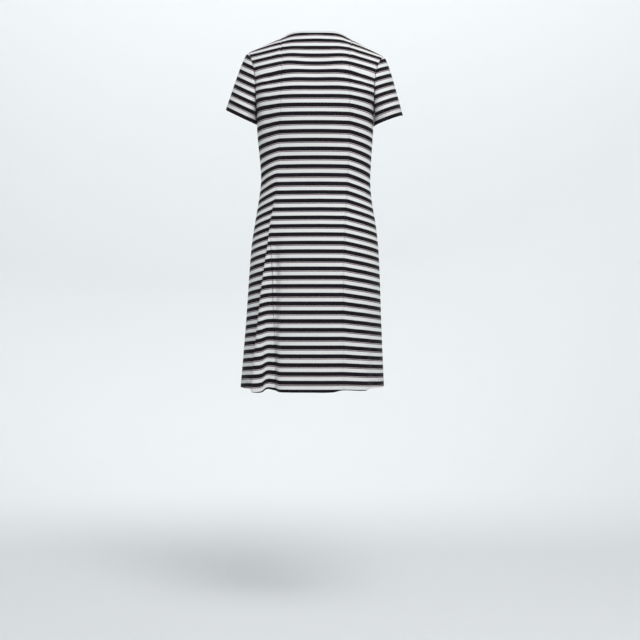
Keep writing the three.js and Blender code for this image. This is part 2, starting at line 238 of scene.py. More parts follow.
# %% Hem line
HEM_CUT = [
    dict(at=-195, rise=6), dict(at=-150, rise=2.5), dict(at=-138, rise=-1.5), dict(at=-78, rise=0.5),
    dict(at=-55, rise=-4.5), dict(at=0, rise=-5), dict(at=90, rise=-4.5), dict(at=150, rise=-2),
    dict(at=175, rise=2), dict(at=200, rise=4),
]
HEM_LIFT = [
    dict(at=85, rise=0), dict(at=98, rise=2.5), dict(at=110, rise=4.5), dict(at=118, rise=7),
    dict(at=123, rise=4.5), dict(at=129, rise=-2), dict(at=136, rise=-4), dict(at=152, rise=-2.5),
    dict(at=175, rise=0),
]
HEM_CUT_REACH = 300              # how far up the cut of the hem is felt
HEM_LIFT_REACH = 420


def edge_rise(table, x, level, reach):
    """How far the hem line raises the cloth at a level, fading out above it."""
    share = clamp(1 - (level - HEM) / reach)
    return read(table, "rise", x) * share * share if share else 0.0


# %% Points of the form
def shoulder_height(x):
    """The shoulders' height, bending softly beside the neck."""
    slope = SLOPE["left"] if x >= 0 else SLOPE["right"]
    beyond = (abs(x) - SLOPE_STARTS) / SLOPE_SOFTNESS
    return BACK_NECK_RISE - slope * SLOPE_SOFTNESS * math.log1p(math.exp(beyond))


def depth_share(x, level):
    """The share of a section's depth that is left near the shoulder ridge."""
    below = min(1, -level / SHOULDER_REACH)
    beside = min(1, abs(x) / NECK_HALF_WIDTH)
    neck_share = (BACK_NECK_DEPTH / BODY[-1]["back"]) ** 2 * (1 - beside ** 2)
    return math.sqrt(max(0, 1 - (1 - neck_share) * (1 - below) ** 2))


def outline(angle, level):
    """Where a section lies at an angle: across, and as a share of its depth."""
    wide, square = section(level)[0], section(level)[3]
    sine, cosine = math.sin(math.radians(angle)), math.cos(math.radians(angle))
    reach = (abs(sine) ** square + abs(cosine) ** square) ** (-1 / square)
    return wide * reach * sine, reach * cosine


def form_point(angle, level, face):
    """The cloth at an angle from the middle of the back (face 1) or front (face -1) and a level."""
    _, back, front, _, lean, _, _ = section(level)
    sine, cosine = math.sin(math.radians(angle)), math.cos(math.radians(angle))
    x, share = outline(angle, level)
    depth = (back if face > 0 else front) * share * depth_share(x, level)
    out, aside = hang(x, level, face)
    z = level + max(0, 1 - level / UNDERARM) ** SLOPE_FADE * shoulder_height(x)
    z += edge_rise(HEM_CUT, x, level, HEM_CUT_REACH)
    if face > 0:
        z += edge_rise(HEM_LIFT, x, level, HEM_LIFT_REACH)
    return Vector((
        x + lean + out * sine * abs(cosine) + aside * cosine,
        face * (depth + out * cosine - aside * sine),
        z,
    ))


print("hem, middle of the back:", [round(value) for value in form_point(0, HEM, 1)])

# %% [markdown]
# ## Creases
# Between the flutes a worn dress shows smaller creases: drag lines that run from the armholes to
# the shoulder blades, and soft horizontal ripples where the waist is slack. Each row is a short
# ridge or trough, given by its two ends. Jersey this smooth shows only faint ones, so they stay
# shallow, and the front gets creases of the same kind.

# %% Creases
CREASES = [
    dict(face=1, x1=150, z1=-175, x2=112, z2=-120, out=1.6, half=7),
    dict(face=1, x1=146, z1=-150, x2=108, z2=-92, out=-1.2, half=7),
    dict(face=1, x1=-150, z1=-170, x2=-108, z2=-112, out=1.5, half=7),
    dict(face=1, x1=-148, z1=-148, x2=-104, z2=-80, out=-1.1, half=8),
    dict(face=1, x1=146, z1=-352, x2=96, z2=-338, out=-1.2, half=8),
    dict(face=1, x1=144, z1=-388, x2=88, z2=-372, out=1.6, half=8),
    dict(face=1, x1=142, z1=-416, x2=92, z2=-404, out=-1.8, half=8),
    dict(face=1, x1=-144, z1=-362, x2=-92, z2=-350, out=1.4, half=8),
    dict(face=1, x1=-142, z1=-394, x2=-82, z2=-384, out=-1.7, half=8),
    dict(face=1, x1=-144, z1=-424, x2=-90, z2=-410, out=1.4, half=9),
    dict(face=1, x1=42, z1=-404, x2=-26, z2=-410, out=-1.3, half=9),
    dict(face=1, x1=30, z1=-436, x2=-44, z2=-430, out=1.2, half=9),
    dict(face=1, x1=74, z1=-14, x2=118, z2=-66, out=1.2, half=8),
    dict(face=1, x1=-72, z1=-14, x2=-120, z2=-72, out=1.2, half=8),
    dict(face=-1, x1=150, z1=-176, x2=96, z2=-214, out=1.8, half=9),
    dict(face=-1, x1=148, z1=-150, x2=104, z2=-176, out=-1.3, half=8),
    dict(face=-1, x1=-150, z1=-176, x2=-98, z2=-210, out=1.7, half=9),
    dict(face=-1, x1=-147, z1=-152, x2=-100, z2=-172, out=-1.3, half=8),
    dict(face=-1, x1=146, z1=-360, x2=86, z2=-350, out=-1.6, half=9),
    dict(face=-1, x1=144, z1=-396, x2=70, z2=-386, out=1.8, half=9),
    dict(face=-1, x1=-146, z1=-370, x2=-80, z2=-356, out=1.6, half=9),
    dict(face=-1, x1=-144, z1=-404, x2=-76, z2=-396, out=-1.8, half=9),
    dict(face=-1, x1=40, z1=-418, x2=-36, z2=-426, out=1.3, half=10),
    dict(face=-1, x1=80, z1=-34, x2=112, z2=-96, out=1.3, half=9),
    dict(face=-1, x1=-80, z1=-34, x2=-114, z2=-100, out=1.3, half=9),
]
CREASE_FADE = 0.35               # share of a crease's length over which each end fades
CREASE_SPREAD = 2.5              # half widths beyond which a crease isn't felt


def crease_height(x, level, face):
    """How far the creases raise the cloth at a place."""
    height = 0.0
    for crease in CREASES:
        if crease["face"] != face:
            continue
        along_x, along_z = crease["x2"] - crease["x1"], crease["z2"] - crease["z1"]
        length = math.hypot(along_x, along_z)
        dx, dz = x - crease["x1"], level - crease["z1"]
        away = (dx * along_z - dz * along_x) / length / crease["half"]
        if abs(away) > CREASE_SPREAD:
            continue
        along = (dx * along_x + dz * along_z) / length ** 2
        ends = smooth(along / CREASE_FADE) * smooth((1 - along) / CREASE_FADE)
        height += crease["out"] * ends * math.exp(-away * away)
    return height


# %% The cloth's spots
PROBE = 0.25                     # step for measuring which way the cloth faces
ON_SEAM = 0.05                   # nearer than this to the side or shoulder seam counts as on it


def cloth_spot(angle, level, face):
    """A point of the cloth, with the direction that faces away from the wearer there."""
    point = form_point(angle, level, face)
    around = form_point(angle + PROBE, level, face) - form_point(angle - PROBE, level, face)
    above, under = min(level + PROBE, 0), level - PROBE
    upwards = form_point(angle, above, face) - form_point(angle, under, face)
    normal = around.cross(upwards) * -face
    if abs(point.y) < ON_SEAM:
        normal.y = 0
    normal.normalize()
    return point + normal * crease_height(point.x, level, face), normal


# %% [markdown]
# ## Stripes follow the cloth
# The stripes are knitted into the jersey, so they must bend with it. Each point of the cloth gets a
# place in a UV map called "cloth": across it, the distance along the row, and up it, the length of
# cloth from the hem. On the side panels the stripes hang lower towards the side seams, most of all
# at the waist, because those panels are cut on a slant. The front takes the same height at the side
# seams, where a good maker matches the stripes, and runs level in the middle. Over the shoulders
# the cloth bends forwards, so there the stripes are counted up each wale, a column of the knit.

# %% How far the stripes drop towards the side seams
# Most below the waist, where the side panels slant most. A value is how fast the stripes start to
# drop at the princess seam. At the side seam they are about two thirds of it lower, in millimetres.
SIDE_DROP = [
    dict(at=-945, left=18, right=8),
    dict(at=-470, left=38, right=36),
    dict(at=-190, left=12, right=22),
]


# %% Lengths along the cloth
def running_length(points):
    """The distance along a line of points, at each of them."""
    lengths = [0.0]
    for before, here in zip(points, points[1:]):
        lengths.append(lengths[-1] + (here - before).length)
    return lengths


# The length of cloth from the hem to each millimetre of level, down the middle of either side.
LENGTHS = {face: running_length([form_point(0, HEM + up, face) for up in range(1 - HEM)])
           for face in (1, -1)}


def length_at(level, face):
    place = clamp(level - HEM, 0, -HEM - 1e-6)
    below = int(place)
    return lerp(LENGTHS[face][below], LENGTHS[face][below + 1], place - below)


def seam_x(level, side):
    """How far from the section's middle a princess seam runs."""
    _, _, _, _, lean, panel, slide = section(level)
    return panel * side + slide - lean


def angle_at(x, level):
    """The angle at which a section reaches a distance from its middle."""
    wide, square = section(level)[0], section(level)[3]
    across = min(1, abs(x) / wide)
    angle = math.atan2(across, (1 - across ** square) ** (1 / square))
    return math.copysign(math.degrees(angle), x)


# %% Heights of the stripes
def back_stripe_height(angle, level, on_side_panel):
    """The length of cloth between the hem and a point of the back, as its stripes count it."""
    x = outline(angle, level)[0]
    height = length_at(level, 1)
    height += edge_rise(HEM_CUT, x, level, HEM_CUT_REACH) - edge_rise(HEM_CUT, 0, level, HEM_CUT_REACH)
    if on_side_panel:
        side, name = (1, "left") if angle >= 0 else (-1, "right")
        start = abs(angle_at(seam_x(level, side), level))
        share = clamp((abs(angle) - start) / (90 - start))
        height += read(SIDE_DROP, name, level) * math.sin(share * math.pi / 2) / (math.pi / 2)
    return height


def front_stripe_height(angle, level):
    """The same for the front: level in the middle, matched to the back at the side seams."""
    at_side = back_stripe_height(math.copysign(90, angle), level, True)
    return lerp(length_at(level, -1), at_side, smooth(abs(angle) / 90) ** 2)


# %% Over the shoulders
COUNTED_FROM = {1: -110, -1: UNDERARM}   # level from which each wale is counted on its own
WALE_ANGLE, WALE_ROWS = 3, 40            # degrees between the wales measured, and steps up each
NECK_EASE, SHOULDER_EASE = -1, 5         # how much of the back's cloth is eased in near the seam
EASE_RISE = 28                           # how far up that easing takes


@functools.cache
def wale(angle, face):
    """The cloth's length up one column of knit, from the underarm's level to the shoulder seam."""
    levels = [UNDERARM * (1 - row / WALE_ROWS) ** 2 for row in range(WALE_ROWS + 1)]
    return running_length([form_point(angle, level, face) for level in levels])


def wale_length(angle, level, face):
    column, row = angle / WALE_ANGLE, WALE_ROWS * (1 - math.sqrt(level / UNDERARM))
    before, below = math.floor(column), min(int(row), WALE_ROWS - 1)
    lengths = [lerp(*wale(index * WALE_ANGLE, face)[below:below + 2], row - below)
               for index in (before, before + 1)]
    return lerp(*lengths, column - before)


def stripe_height(angle, level, face, on_side_panel=False):
    start = COUNTED_FROM[face]
    counted = min(level, start)
    if face > 0:
        height = back_stripe_height(angle, counted, on_side_panel)
    else:
        height = front_stripe_height(angle, counted)
    if level <= start:
        return height
    if face > 0:
        beside = smooth(abs(outline(angle, level)[0]) / NECK_SEAM_HALF_WIDTH)
        height -= lerp(NECK_EASE, SHOULDER_EASE, beside ** 2) * smooth((level - start) / EASE_RISE)
    return height + wale_length(angle, level, face) - wale_length(angle, start, face)


print("cloth down the middle, behind and in front:", [round(LENGTHS[face][-1]) for face in (1, -1)])

# %% [markdown]
# ## Seams, and a grid of cloth
# Two panels are sewn face to face, so each edge rolls inwards and ends in a narrow seam allowance
# on the inside. That roll is the soft groove that shows along a real seam. The hem is turned up
# inside in the same way, round a small bend. Each panel starts as one bmesh grid: a few columns
# crowd together near each seam to carry the roll, and every vertex is then moved to its spot. A
# plain grid keeps the UV map simple, which a simulated or remeshed cloth would lose.

# %% How an edge rolls in
THICKNESS = 0.9                  # the jersey
EDGE_DISTANCES = (0.5, 0.5, 0.9, 1.5, 2.4, 3.8, 5.6)
ROLL_DEPTH = 1.7
ROLL_WIDTH = 1.0
SHOULDER_ROLL = 0.5              # a shoulder seam is pressed flatter than the others
ALLOWANCE = 4.0                  # what stands inside, past the seam
HEM_TURN = 24                    # how much of the hem is turned up inside
HEM_BEND = 0.85                  # radius of the bend at its edge
BEND_STEPS = 6


def roll_depth(distance):
    """How far an edge has rolled inwards at a distance from its seam."""
    return ROLL_DEPTH * math.exp(-(distance - EDGE_DISTANCES[0]) / ROLL_WIDTH)


def hem_rows(turn):
    """Rows of a turned-up hem, as (height above the edge, depth inside, cloth past the edge)."""
    rows = [(turn * step / 4, 2 * HEM_BEND, turn * step / 4) for step in (4, 3, 2, 1)]
    for step in range(BEND_STEPS + 1):
        bend = math.pi * step / BEND_STEPS
        height = HEM_BEND * (1 - math.sin(bend))
        rows.append((height, HEM_BEND * (1 + math.cos(bend)), height * math.cos(bend)))
    return rows


def crowded(length, pitch_count):
    """Distances along a length that crowd together at both ends, for seams."""
    start, end = EDGE_DISTANCES[-1], length - EDGE_DISTANCES[-1]
    middle = [lerp(start, end, step / pitch_count) for step in range(1, pitch_count)]
    return [*EDGE_DISTANCES, *middle, *(length - away for away in reversed(EDGE_DISTANCES))]


# %% Turn a grid of spots into a piece of cloth
def make_cloth(name, spots, across, up, facing, closed=False):
    """spots, across and up are grids: the point, and its place in the "cloth" UV map."""
    last_row, last_column = len(spots) - 1, len(spots[0]) - 1
    bm = bmesh.new()
    bmesh.ops.create_grid(bm, x_segments=last_column, y_segments=last_row, size=0.5)
    uv = bm.loops.layers.uv.new("cloth")
    places = {}
    for vert in bm.verts:
        row = round((vert.co.y + 0.5) * last_row)
        places[vert] = row, round((vert.co.x + 0.5) * last_column)
    for face in bm.faces:
        for loop in face.loops:
            row, column = places[loop.vert]
            loop[uv].uv = across[row][column] * MM, up[row][column] * MM
    for vert, (row, column) in places.items():
        vert.co = spots[row][column] * MM
    if facing < 0:
        bmesh.ops.reverse_faces(bm, faces=bm.faces)
    if closed:
        bmesh.ops.remove_doubles(bm, verts=bm.verts, dist=0.01 * MM)
    area = sum(face.calc_area() for face in bm.faces)
    mesh = bpy.data.meshes.new(name)
    bm.to_mesh(mesh)
    bm.free()
    mesh.shade_smooth()
    piece = bpy.data.objects.new(name, mesh)
    bpy.context.scene.collection.objects.link(piece)
    wall = piece.modifiers.new("jersey thickness", "SOLIDIFY")
    wall.thickness = THICKNESS * MM
    wall.offset = 0
    print(f"{name}: {len(mesh.polygons)} faces, {area:.3f} square metres")
    return piece, area

# %% [markdown]
# ## The panels
# A panel is described by two small functions. Below the underarm, one gives the angle at a share of
# the way across. Above it, the other gives the angle and the level, because there the panel's edges
# follow the armhole, the shoulder seam and the neckline. Everything else is the same for all four
# panels, so one function lays them out.

# %% The armholes and the neck seam
ARMHOLE = [
    dict(at=0, height=-190, left=90, right=90, front=90),
    dict(at=0.12, height=-187, left=80, right=79, front=80),
    dict(at=0.25, height=-177, left=70, right=68, front=69),
    dict(at=0.4, height=-158, left=62, right=59.5, front=60),
    dict(at=0.55, height=-130, left=57, right=54, front=54),
    dict(at=0.7, height=-95, left=55, right=51.8, front=51.5),
    dict(at=0.85, height=-50, left=56.5, right=53.5, front=54),
    dict(at=1, height=0, left=62.5, right=62, front=62.5),
]
ROW_PITCH = 4.0
YOKE_ROWS = 46
YOKE_LENGTH = 131                # cloth from a shoulder seam down, if it went on as it starts
EDGE_PULL = 3                    # how closely inner columns follow a panel's shaped edge
PROBES = 12                      # steps for measuring a length before it is divided up


def armhole(up, face, side=1):
    """An armhole's angle and level, from the underarm (0) to the shoulder tip (1)."""
    edge = "front" if face < 0 else "left" if side > 0 else "right"
    return read(ARMHOLE, edge, up), read(ARMHOLE, "height", up)


def neck_seam(share, face):
    """The neck seam from the middle (0) to the neck point (1), as a distance and a level."""
    drop = BACK_NECK_DROP if face > 0 else FRONT_NECK_DROP
    quarter = share * math.pi / 2
    return NECK_SEAM_HALF_WIDTH * math.sin(quarter), -drop * math.cos(quarter)


def yoke_rises(ease):
    """How far up each yoke row lies, crowded towards the seam at the top."""
    steps = [lerp(0, 1 - EDGE_DISTANCES[-1] / YOKE_LENGTH, row / YOKE_ROWS) for row in range(YOKE_ROWS)]
    steps += [1 - away / YOKE_LENGTH for away in reversed(EDGE_DISTANCES)]
    return [1 - (1 - step) ** ease for step in steps]


# %% Lay out one panel
def lay_panel(name, face, facing, columns, below, above, seam_top):
    """below(share, level) gives an angle, above(share, up) gives (angle, level, row ease) and
    seam_top(share) says how much of a shoulder seam there is at the top of a column."""
    skirt = [HEM + ROW_PITCH * row for row in range(1, int((UNDERARM - HEM) / ROW_PITCH))]
    plan = [(HEM + height, depth, past) for height, depth, past in hem_rows(HEM_TURN)]
    plan += [(level, 0, None) for level in skirt]

    def shares_at(points):
        width = running_length(points)[-1]
        return [distance / width for distance in crowded(width, columns)]

    probes = [probe / PROBES for probe in range(PROBES + 1)]
    rows = []
    for level, depth, past in plan:
        shares = shares_at([form_point(below(share, level), level, face) for share in probes])
        rows.append([(below(share, level), level, depth, past) for share in shares])
    yoke_count = len(yoke_rises(1))
    for row in range(yoke_count):
        spots = [above(share, yoke_rises(above(share, 0)[2])[row])[:2] for share in probes]
        shares = shares_at([form_point(angle, level, face) for angle, level in spots])
        places = [above(share, yoke_rises(above(share, 0)[2])[row]) for share in shares]
        rows.append([(angle, level, 0, None) for angle, level, _ in places])

    flat = [[cloth_spot(angle, level, face) for angle, level, _, _ in row] for row in rows]
    last = len(rows[0]) - 1
    heights = list(zip(*[running_length([row[column][0] for row in flat]) for column in range(last + 1)]))
    spots, across, up = [], [], []
    for index, row in enumerate(rows):
        along = running_length([point for point, _ in flat[index]])
        middle = along[last // 2]
        new_spots, new_up = [], []
        for column, (angle, level, depth, past) in enumerate(row):
            point, normal = flat[index][column]
            edge = min(along[column], along[-1] - along[column]) + EDGE_DISTANCES[0]
            top = heights[-1][column] - heights[index][column] + EDGE_DISTANCES[0]
            sewn = seam_top(column / last)
            inwards = max(roll_depth(edge), sewn * SHOULDER_ROLL * roll_depth(top))
            if column in (0, last) or (index == len(rows) - 1 and sewn == 1):
                inwards += ALLOWANCE
            new_spots.append(point - normal * (inwards + depth))
            on_side = "side" in name
            if past is None:
                new_up.append(stripe_height(angle, level, face, on_side))
            else:
                new_up.append(stripe_height(angle, HEM, face, on_side) - past)
        spots.append(new_spots)
        across.append([place - middle for place in along])
        up.append(new_up)
    piece, area = make_cloth(name, spots, across, up, facing)
    width = max(row[-1] - row[0] for row in across)
    return piece, (width * MM, (max(heights[-1]) + HEM_TURN) * MM), area


# %% The four panels
CENTRE_COLUMNS = 46
SIDE_COLUMNS = {1: 74, -1: 38}
FRONT_COLUMNS = 118


def front_below(share, level):
    return (share * 2 - 1) * 90


def front_above(share, up):
    reach = abs(share * 2 - 1)
    tip, neck_point = ARMHOLE[-1]["front"], angle_at(NECK_SEAM_HALF_WIDTH, 0)
    if reach > 0.5:
        top_angle, top_level = lerp(neck_point, tip, reach * 2 - 1), 0
    else:
        x, top_level = neck_seam(reach * 2, -1)
        top_angle = angle_at(x, top_level)
    shaped_angle, shaped_level = armhole(up, -1)
    pull = reach ** EDGE_PULL
    angle = lerp(reach * 90, top_angle, up) + pull * (shaped_angle - lerp(90, tip, up))
    level = lerp(UNDERARM, top_level, up) + pull * (shaped_level - lerp(UNDERARM, 0, up))
    return math.copysign(angle, share - 0.5), level, lerp(1, 2, smooth(reach * 2))


def centre_edge(level, side):
    return angle_at(seam_x(level, side), level)


def centre_below(share, level):
    return lerp(centre_edge(level, -1), centre_edge(level, 1), share)


CENTRE_NECK_REACH = NECK_SEAM_HALF_WIDTH / seam_x(0, 1)


def centre_above(share, up):
    signed = share * 2 - 1
    side, reach = math.copysign(1, signed), abs(signed)
    if reach > CENTRE_NECK_REACH:
        past = (reach - CENTRE_NECK_REACH) / (1 - CENTRE_NECK_REACH)
        top_angle = lerp(angle_at(NECK_SEAM_HALF_WIDTH, 0), centre_edge(0, 1), past)
        top_level = 0
    else:
        x, top_level = neck_seam(reach / CENTRE_NECK_REACH, 1)
        top_angle = angle_at(x, top_level)
    level = lerp(UNDERARM, top_level, up)
    straight = lerp(centre_below(share, UNDERARM), side * top_angle, up)
    inwards = centre_edge(level, side) - lerp(centre_edge(UNDERARM, side), centre_edge(0, side), up)
    return straight + reach ** EDGE_PULL * inwards, level, lerp(1.2, 2, smooth(reach / CENTRE_NECK_REACH))


def side_below(side):
    return lambda share, level: lerp(centre_edge(level, side), side * 90, share)


def side_above(side):
    def place(share, up):
        angle, height = armhole(up, 1, side)
        level = lerp(UNDERARM, 0, up)
        return lerp(centre_edge(level, side), side * angle, share), lerp(level, height, share), 2
    return place


def shoulder_only(neck_reach):
    """Past the neck point a column ends in the shoulder seam."""
    return lambda share: smooth((abs(share * 2 - 1) - neck_reach) / 0.03)


panels = {
    "front": lay_panel("front_panel", -1, 1, FRONT_COLUMNS, front_below, front_above, shoulder_only(0.5)),
    "back_centre": lay_panel("back_centre_panel", 1, -1, CENTRE_COLUMNS, centre_below, centre_above,
                             shoulder_only(CENTRE_NECK_REACH)),
}
for side, name in ((1, "left"), (-1, "right")):
    panels[f"back_side_{name}"] = lay_panel(
        f"back_side_{name}_panel", 1, -side, SIDE_COLUMNS[side], side_below(side), side_above(side),
        lambda share: 1)

# %% [markdown]
# ## The sleeves
# A short sleeve is a tube from the armhole to its own hem. Nothing fills it, so it hangs close
# along the body underneath and stands out softly over the shoulder. Its stripes run parallel to its
# hem, which is how the cloth was cut, so their height in the UV map is measured at a right angle to
# the hem. The seam is under the arm.

# %% Sleeve sizes
SLEEVES = {
    1: dict(outer=(243, -194), inner=(160.4, -233), depth=56, dip=7, rise=11),
    -1: dict(outer=(234, -209), inner=(155.8, -238), depth=56, dip=3, rise=13),
}
CAP_FULLNESS = 5                 # how far the head of the sleeve stands out
SLEEVE_CLEAR = 0.9               # how far past the edge of the body it starts
SLEEVE_COLUMNS = 120
SLEEVE_ROWS = 44
SLEEVE_TURN = 20
SLEEVE_STRETCH = 1.075           # its cloth is longer than its height, as it curves forwards
SLEEVE_STARTS = -2.5             # where in the repeat its hem lies
SLEEVE_STEP = 0.004              # step for measuring which way the sleeve faces


@functools.cache
def sleeve_ends(turn, side):
    """Where a line down the sleeve leaves the armhole, and where it reaches the sleeve's hem."""
    hem = SLEEVES[side]
    face = 1 if turn > 0 else -1
    up = 1 - clamp(abs(turn) / math.pi) ** 1.5
    angle, level = armhole(up, face, side)
    start = form_point(side * angle, level, face)
    start.x += side * SLEEVE_CLEAR
    if up in (0, 1):
        start.y = 0
    outer = (1 + math.cos(turn)) / 2
    tilt = hem["dip"] if turn > 0 else hem["rise"]
    x, z = (lerp(inner, out, outer) for inner, out in zip(hem["inner"], hem["outer"]))
    return start, Vector((side * x, hem["depth"] * math.sin(turn), z - tilt * math.sin(turn)))


def sleeve_point(turn, down, side):
    """A point at a turn from the top of the sleeve (half a turn is under the arm)."""
    start, end = sleeve_ends(turn, side)
    outer = (1 + math.cos(turn)) / 2
    point = start.lerp(end, down)
    point.x += side * CAP_FULLNESS * outer * math.sin(math.pi * math.sqrt(clamp(down)))
    return point


def sleeve_spot(turn, down, side):
    point = sleeve_point(turn, down, side)
    around = sleeve_point(turn + SLEEVE_STEP, down, side) - sleeve_point(turn - SLEEVE_STEP, down, side)
    further, nearer = min(down + SLEEVE_STEP, 1), max(down - SLEEVE_STEP, 0)
    along = sleeve_point(turn, further, side) - sleeve_point(turn, nearer, side)
    return point, (around.cross(along) * -side).normalized()


# %% Lay out a sleeve
def lay_sleeve(side, name):
    hem = SLEEVES[side]
    slant = Vector((hem["outer"][0] - hem["inner"][0], 0, hem["outer"][1] - hem["inner"][1]))
    rises = Vector((-side * slant.z, 0, slant.x)).normalized()
    turns = [math.pi * (1 - 2 * column / SLEEVE_COLUMNS) for column in range(SLEEVE_COLUMNS + 1)]
    lengths = [
        running_length([sleeve_point(turn, probe / PROBES, side) for probe in range(PROBES + 1)])[-1]
        for turn in turns
    ]
    rows = []
    for height, depth, past in hem_rows(SLEEVE_TURN):
        rows.append([(1 - height / length, depth, past) for length in lengths])
    for row in range(1, SLEEVE_ROWS):
        rows.append([(1 - row / SLEEVE_ROWS * (1 - EDGE_DISTANCES[-1] / length), 0, None)
                     for length in lengths])
    for away in reversed(EDGE_DISTANCES):
        rows.append([((away - EDGE_DISTANCES[0]) / length, roll_depth(away), None) for length in lengths])
    rows.append([(0, ALLOWANCE + roll_depth(0), None) for _ in lengths])

    spots, across, up = [], [], []
    for row in rows:
        flat = [sleeve_spot(turn, down, side) for turn, (down, _, _) in zip(turns, row)]
        along = running_length([point for point, _ in flat])
        middle = along[SLEEVE_COLUMNS // 2]
        spots.append([point - normal * depth for (point, normal), (_, depth, _) in zip(flat, row)])
        spots[-1][-1] = spots[-1][0].copy()
        across.append([place - middle for place in along])
        heights = []
        for turn, (point, _), (_, _, past) in zip(turns, flat, row):
            height = (point - sleeve_point(turn, 1, side)).dot(rises) * SLEEVE_STRETCH
            heights.append(SLEEVE_STARTS + (height if past is None else -past))
        up.append(heights)
    piece, area = make_cloth(f"sleeve_{name}_tube", spots, across, up, -side, closed=True)
    width = max(row[-1] - row[0] for row in across)
    return piece, (width * MM, (max(lengths) + SLEEVE_TURN) * MM), area


for side, name in ((1, "left"), (-1, "right")):
    panels[f"sleeve_{name}"] = lay_sleeve(side, name)

# %% [markdown]
# ## The neck binding
# A strip of off-white jersey is folded over the raw edge of the neck and sewn down. It is the one
# light, plain line on the dress. A flat band would look like a sticker, so its profile is a narrow
# folded loop: up the outside, over the fold and down the inside, carried once round the neckline.

# %% Fold the strip over the neck edge
BAND_THICKNESS = 0.8
# Height above the seam and distance from the middle of the cloth, up the outside to the fold.
BAND_PROFILE = [
    (-0.9, 0.9), (-0.6, 1.2), (0.2, 1.35), (2, 1.45), (4, 1.4), (5.2, 1.15), (5.9, 0.7), (6.2, 0),
]
BAND_STEPS = 110                 # in front, and again behind


def neck_spots():
    """Once round the neck seam: the point, which way the cloth faces, and which way is up."""
    spots = []
    for face in (-1, 1):
        for step in range(BAND_STEPS):
            signed = -face * (1 - 2 * step / BAND_STEPS)
            x, level = neck_seam(1 - (1 - abs(signed)) ** 2, face)
            spots.append(cloth_spot(math.copysign(angle_at(x, level), signed), level, face))
            if step == 0:
                spots[-1][0].y = 0
    round_spots = []
    for index, (point, normal) in enumerate(spots):
        onwards = spots[(index + 1) % len(spots)][0] - spots[index - 1][0]
        round_spots.append((point, normal, onwards.cross(normal).normalized()))
    return [*round_spots, round_spots[0]]


def make_binding():
    around = neck_spots()
    profile = [*BAND_PROFILE, *((height, -out) for height, out in reversed(BAND_PROFILE[:-1]))]
    places = running_length([point for point, _, _ in around])
    spots = [[point + upwards * height + normal * out for point, normal, upwards in around]
             for height, out in profile]
    strip = running_length([Vector(place) for place in profile])
    across = [places for _ in profile]
    up = [[height for _ in around] for height in strip]
    piece, area = make_cloth("neck_binding_strip", spots, across, up, -1, closed=True)
    piece.modifiers["jersey thickness"].thickness = BAND_THICKNESS * MM
    return piece, (places[-1] * MM, strip[-1] * MM), area


panels["neck_band"] = make_binding()

# %% [markdown]
# ## Twin-needle hems
# The hem and the sleeves are sewn with a twin needle, which leaves two parallel rows of small
# stitches. Each stitch is one tiny drawn-out ball of a few faces, because there are hundreds.

# %% Sew the rows
STITCH_PITCH = 3.2
STITCH_LENGTH = 2.5
STITCH_RADIUS = 0.32


def make_stitch():
    bm = bmesh.new()
    bmesh.ops.create_uvsphere(bm, u_segments=6, v_segments=4, radius=1)
    mesh = bpy.data.meshes.new("stitch")
    bm.to_mesh(mesh)
    bm.free()
    return mesh


def add_stitches(bm, line):
    """Lays stitches along a line of (point, normal)."""
    places = running_length([point for point, _ in line])
    stitch, index = make_stitch(), 0
    for number in range(int(places[-1] / STITCH_PITCH)):
        place = (number + 0.5) * STITCH_PITCH
        while places[index + 1] < place:
            index += 1
        share = (place - places[index]) / (places[index + 1] - places[index])
        point = line[index][0].lerp(line[index + 1][0], share)
        normal = line[index][1].lerp(line[index + 1][1], share).normalized()
        along = (line[index + 1][0] - line[index][0]).normalized()
        along = (along - normal * along.dot(normal)).normalized()
        stretch = Matrix.Diagonal((STITCH_RADIUS, STITCH_RADIUS * 0.8, STITCH_LENGTH / 2)) * MM
        turn = Matrix((normal.cross(along), normal, along)).transposed()
        spot = Matrix.Translation((point + normal * (THICKNESS / 2 + 0.05)) * MM)
        spot = spot @ (turn @ stretch).to_4x4()
        stitch.transform(spot)
        bm.from_mesh(stitch)
        stitch.transform(spot.inverted())
    bpy.data.meshes.remove(stitch)


def make_stitches(name, lines):
    bm = bmesh.new()
    for line in lines:
        add_stitches(bm, line)
    mesh = bpy.data.meshes.new(name)
    bm.to_mesh(mesh)
    bm.free()
    mesh.shade_smooth()
    piece = bpy.data.objects.new(name, mesh)
    bpy.context.scene.collection.objects.link(piece)
    print(f"{name}: {len(mesh.polygons)} faces")
    return piece


def hem_line(height):
    """Once round the dress at a height above its hem."""
    turns = [step / 2 for step in range(-178, 179)]
    around = [cloth_spot(angle, HEM + height, 1) for angle in turns]
    around += [cloth_spot(-angle, HEM + height, -1) for angle in turns]
    return around


def cuff_line(side, height):
    line = []
    for step in range(-87, 88):
        turn = math.pi * step / 90
        length = (sleeve_point(turn, 1, side) - sleeve_point(turn, 0, side)).length
        line.append(sleeve_spot(turn, 1 - height / length, side))
    return line


stitches = make_stitches("hem_stitches", [hem_line(height) for height in (16, 20)])
cuff_stitches = {side: make_stitches(f"cuff_stitches_{name}", [cuff_line(side, h) for h in (13.5, 17)])
                 for side, name in ((1, "left"), (-1, "right"))}

# %% [markdown]
# ## Finishes
# The jersey is yarn-dyed: black stripes on off-white, each with a hairline of dark red just below.
# The pattern repeats along the height in the "cloth" UV map, so one colour ramp holds a whole
# repeat, and a little noise keeps the edges from looking printed. Jersey is matt with a faint soft
# sheen, and a fine knit shows only as a slight roughness, so that much is left to bump.

# %% Material helpers
REPEAT = 23.05                   # mm of cloth from one black stripe to the next
STRIPE_STARTS = -2.8             # height of the lowest edge of a black stripe
BLACK, WHITE, DARK_RED = (0.008, 0.006, 0.009), (0.735, 0.745, 0.74), (0.11, 0.014, 0.03)


